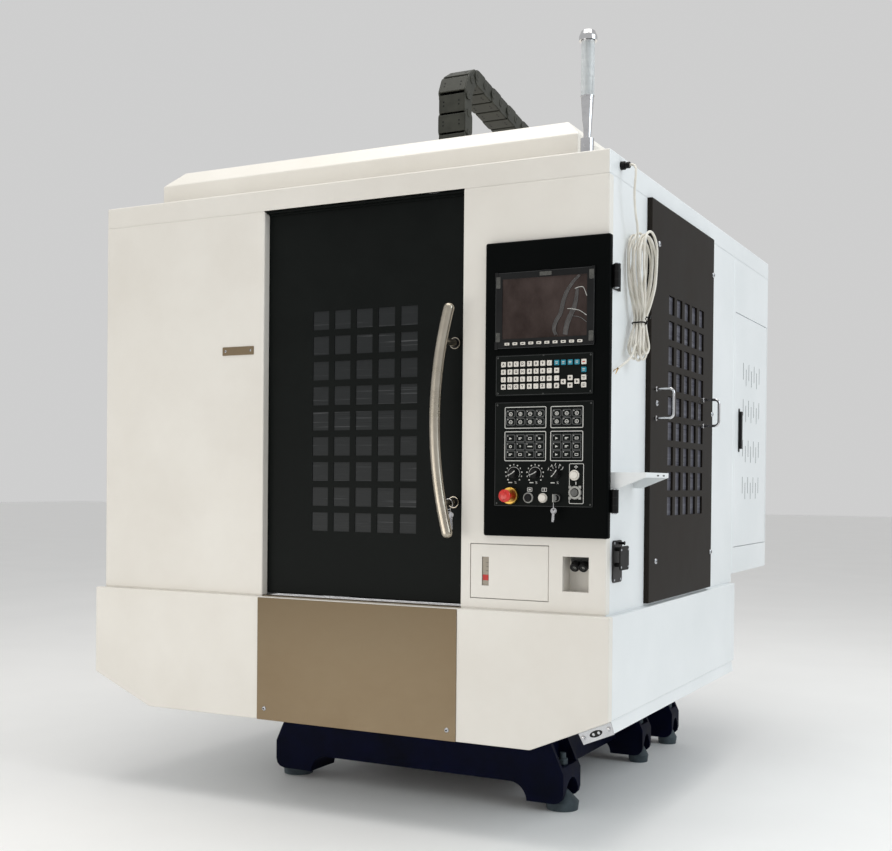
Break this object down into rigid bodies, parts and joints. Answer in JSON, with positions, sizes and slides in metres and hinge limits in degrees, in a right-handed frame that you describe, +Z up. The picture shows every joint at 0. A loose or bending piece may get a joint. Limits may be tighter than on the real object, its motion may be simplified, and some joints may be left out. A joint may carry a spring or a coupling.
{
  "type": "drilling and milling centre",
  "caption": "Enclosed three-axis drilling and milling machine with a sliding windowed door, a hinged control panel, an electrical cabinet and a working interior.",
  "frame": {"origin": "on the floor under the middle of the bounding box", "axes": "+Z up, the front with the door faces -Y, +X to the right seen from the front"},
  "size_m": [1.927, 2.0295, 2.5594],
  "materials": {
    "white_paint": "satin powder coat",
    "black_paint": "fine textured powder coat",
    "dark_paint": "fine textured powder coat",
    "navy_casting": "gloss enamel over cast iron",
    "bare_casting": "ground",
    "stainless": "brushed",
    "steel": "ground",
    "chrome": "polished",
    "window": "clear sheet under film",
    "lens": "frosted",
    "black_plastic": "moulded",
    "screen": "display under film",
    "key_white": "moulded",
    "red_plastic": "moulded",
    "chain_plastic": "moulded",
    "cable": "smooth jacket",
    "motor_black": "semi gloss",
    "reservoir": "translucent"
  },
  "bodies": {
    "machine": {"base_casting": "navy_casting", "levelling_bolts": "steel", "column": "navy_casting", "guide_rails": "steel", "servo_motors": "motor_black", "chip_tray": "white_paint", "skirt": "white_paint", "trim_plates": "stainless", "left_front_panel": "white_paint", "operator_housing": "white_paint", "panel_hinges": "black_plastic", "air_coupling": "black_plastic", "roof_frame": "white_paint", "roof_hood": "white_paint", "left_wall": "white_paint", "right_wall": "white_paint", "rear_wall": "white_paint", "chamber_back": "stainless", "side_panel": "dark_paint", "side_pane": "window", "side_handles": "chrome", "shelf": "white_paint", "pendant_bracket": "black_paint", "lube_pump": "reservoir", "beacon_post": "chrome", "beacon_lens": "lens", "cable_gland": "black_plastic", "cable_lead": "cable", "cable_hank": "cable", "cable_tail": "cable", "cable_chain": "chain_plastic", "electrical_cabinet": "white_paint", "drive_units": "steel", "magazine_bracket": "black_paint", "door_rail": "steel"},
    "door": {"door_panel": "black_paint", "door_pane": "window", "door_handle": "stainless"},
    "control_panel": {"operator_frame": "black_paint", "lcd_unit": "screen", "keypad": "key_white", "switch_panel": "black_plastic"},
    "saddle_unit": {"saddle": "navy_casting"},
    "table_unit": {"table": "bare_casting"},
    "head_unit": {"spindle_head": "navy_casting", "spindle_motor": "motor_black"},
    "spindle_unit": {"spindle": "steel"},
    "carousel": {"magazine_disc": "steel"},
    "pump_door": {"lube_door": "white_paint"},
    "electrics_door": {"cabinet_door": "white_paint"},
    "door_lever": {"cabinet_handle": "black_plastic"},
    "feed_knob_body": {"feed_knob": "black_plastic"},
    "spindle_knob_body": {"spindle_knob": "black_plastic"},
    "mode_knob_body": {"mode_knob": "black_plastic"},
    "estop_button_body": {"estop_button": "red_plastic"},
    "start_button_body": {"start_button": "key_white"},
    "hold_button_body": {"hold_button": "black_plastic"},
    "power_button_body": {"power_button": "key_white"},
    "dark_button_body": {"dark_button": "black_plastic"},
    "key_switch_body": {"key_switch": "chrome"}
  },
  "joints": [
    {"name": "door_slide", "type": "slide", "parent": "machine", "child": "door", "axis": [-1, 0, 0], "range_m": [0, 0.57]},
    {"name": "panel_swing", "type": "hinge", "parent": "machine", "child": "control_panel", "pos_m": [0.8775, -0.937, 1.295], "axis": [0, 0, 1], "range_deg": [0, 100]},
    {"name": "y_axis", "type": "slide", "parent": "machine", "child": "saddle_unit", "axis": [0, 1, 0], "range_m": [-0.2, 0.2]},
    {"name": "x_axis", "type": "slide", "parent": "saddle_unit", "child": "table_unit", "axis": [1, 0, 0], "range_m": [-0.3, 0.3]},
    {"name": "z_axis", "type": "slide", "parent": "machine", "child": "head_unit", "axis": [0, 0, 1], "range_m": [-0.3, 0], "deforming": ["cable_chain"]},
    {"name": "spindle_spin", "type": "hinge", "parent": "head_unit", "child": "spindle_unit", "pos_m": [0.0605, -0.276, 1.325], "axis": [0, 0, 1], "continuous": true},
    {"name": "carousel_spin", "type": "hinge", "parent": "machine", "child": "carousel", "pos_m": [-0.3835, -0.241, 1.535], "axis": [0, 0, 1], "continuous": true},
    {"name": "pump_door_swing", "type": "hinge", "parent": "machine", "child": "pump_door", "pos_m": [0.442, -0.941, 0.775], "axis": [0, 0, -1], "range_deg": [0, 100]},
    {"name": "electrics_door_swing", "type": "hinge", "parent": "machine", "child": "electrics_door", "pos_m": [0.8565, 0.996, 1.237], "axis": [0, 0, 1], "range_deg": [0, 110]},
    {"name": "lever_turn", "type": "hinge", "parent": "electrics_door", "child": "door_lever", "pos_m": [0.8565, 0.537, 1.293], "axis": [1, 0, 0], "range_deg": [0, 90]},
    {"name": "feed_knob_turn", "type": "hinge", "parent": "control_panel", "child": "feed_knob_body", "pos_m": [0.586, -0.963, 1.056], "axis": [0, -1, 0], "range_deg": [-63, 177]},
    {"name": "spindle_knob_turn", "type": "hinge", "parent": "control_panel", "child": "spindle_knob_body", "pos_m": [0.6512, -0.963, 1.056], "axis": [0, -1, 0], "range_deg": [-52, 178]},
    {"name": "mode_knob_turn", "type": "hinge", "parent": "control_panel", "child": "mode_knob_body", "pos_m": [0.715, -0.963, 1.056], "axis": [0, -1, 0], "range_deg": [-52, 128]},
    {"name": "estop_press", "type": "slide", "parent": "control_panel", "child": "estop_button_body", "axis": [0, 1, 0], "range_m": [0, 0.005], "stiffness_N_per_m": 800},
    {"name": "start_press", "type": "slide", "parent": "control_panel", "child": "start_button_body", "axis": [0, 1, 0], "range_m": [0, 0.003], "stiffness_N_per_m": 600},
    {"name": "hold_press", "type": "slide", "parent": "control_panel", "child": "hold_button_body", "axis": [0, 1, 0], "range_m": [0, 0.003], "stiffness_N_per_m": 600},
    {"name": "power_press", "type": "slide", "parent": "control_panel", "child": "power_button_body", "axis": [0, 1, 0], "range_m": [0, 0.003], "stiffness_N_per_m": 600},
    {"name": "dark_press", "type": "slide", "parent": "control_panel", "child": "dark_button_body", "axis": [0, 1, 0], "range_m": [0, 0.003], "stiffness_N_per_m": 600},
    {"name": "key_turn", "type": "hinge", "parent": "control_panel", "child": "key_switch_body", "pos_m": [0.7175, -0.963, 0.988], "axis": [0, -1, 0], "range_deg": [-45, 45]}
  ]
}
